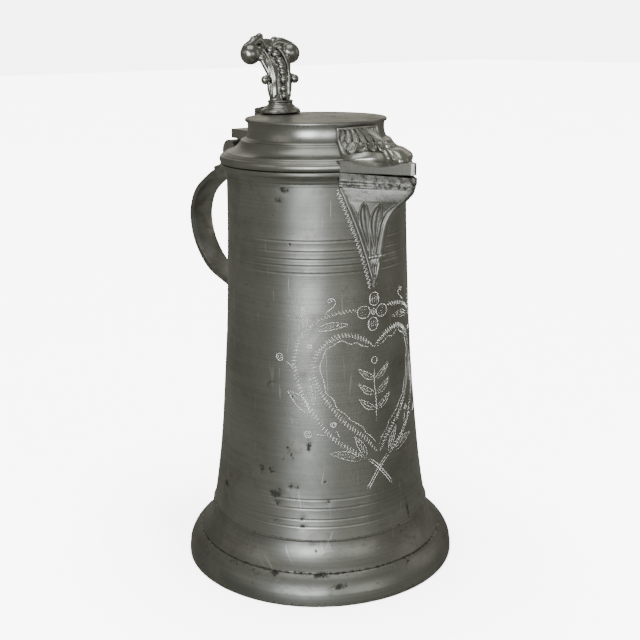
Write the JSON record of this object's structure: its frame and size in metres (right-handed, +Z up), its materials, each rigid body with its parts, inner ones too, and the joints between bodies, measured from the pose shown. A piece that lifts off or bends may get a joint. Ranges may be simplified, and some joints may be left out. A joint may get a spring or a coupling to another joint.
{
  "type": "lidded pewter tankard",
  "caption": "Tapered pewter tankard on a flared foot, with a V-shaped pouring beak, a strap handle and a hinged lid lifted by a forked thumbpiece.",
  "frame": {"origin": "on the drum's axis, in the plane that the foot stands on", "axes": "+Z up along the drum's axis, +X from the axis towards the pouring beak, -X towards the handle, +Y to the left of someone looking from the handle to the beak"},
  "size_m": [0.1914, 0.1398, 0.2656],
  "materials": {
    "pewter_foot": "aged satin pewter, dull grey with a brownish tint, fine scratches and dark corrosion pits",
    "pewter_inside": "aged satin pewter, dull grey with a brownish tint, fine scratches and dark corrosion pits",
    "pewter_drum": "aged satin pewter, dull grey with a brownish tint, fine scratches and dark corrosion pits",
    "pewter_rim": "aged satin pewter, dull grey with a brownish tint, fine scratches and dark corrosion pits",
    "pewter_beak": "aged satin pewter, dull grey with a brownish tint, fine scratches and dark corrosion pits",
    "pewter_handle": "aged satin pewter, dull grey with a brownish tint, fine scratches and dark corrosion pits",
    "pewter_lid": "aged satin pewter, dull grey with a brownish tint, fine scratches and dark corrosion pits",
    "pewter_lid_beak": "aged satin pewter, dull grey with a brownish tint, fine scratches and dark corrosion pits",
    "pewter_thumb": "aged satin pewter, dull grey with a brownish tint, fine scratches and dark corrosion pits",
    "hinge_pin": "worn grey metal pin with a dull sheen"
  },
  "bodies": {
    "vessel": {"foot_skirt": "pewter_foot", "floor_disc": "pewter_inside", "floor_plug": "pewter_inside", "drum": "pewter_drum", "rim_band": "pewter_rim", "pouring_beak": "pewter_beak", "handle_strap": "pewter_handle", "hinge_bracket": "pewter_handle", "hinge_pin": "hinge_pin"},
    "lid": {"lid_shell": "pewter_lid", "lid_disc": "pewter_lid", "beak_plate": "pewter_lid_beak", "beak_leaf_cover": "pewter_lid_beak", "lid_arm": "pewter_thumb", "thumb_plinth": "pewter_thumb", "thumbpiece": "pewter_thumb"}
  },
  "joints": [
    {"name": "lid_hinge", "type": "hinge", "parent": "vessel", "child": "lid", "pos_m": [-0.0675, 0, 0.2044], "axis": [0, -1, 0], "range_deg": [0, 108]}
  ]
}
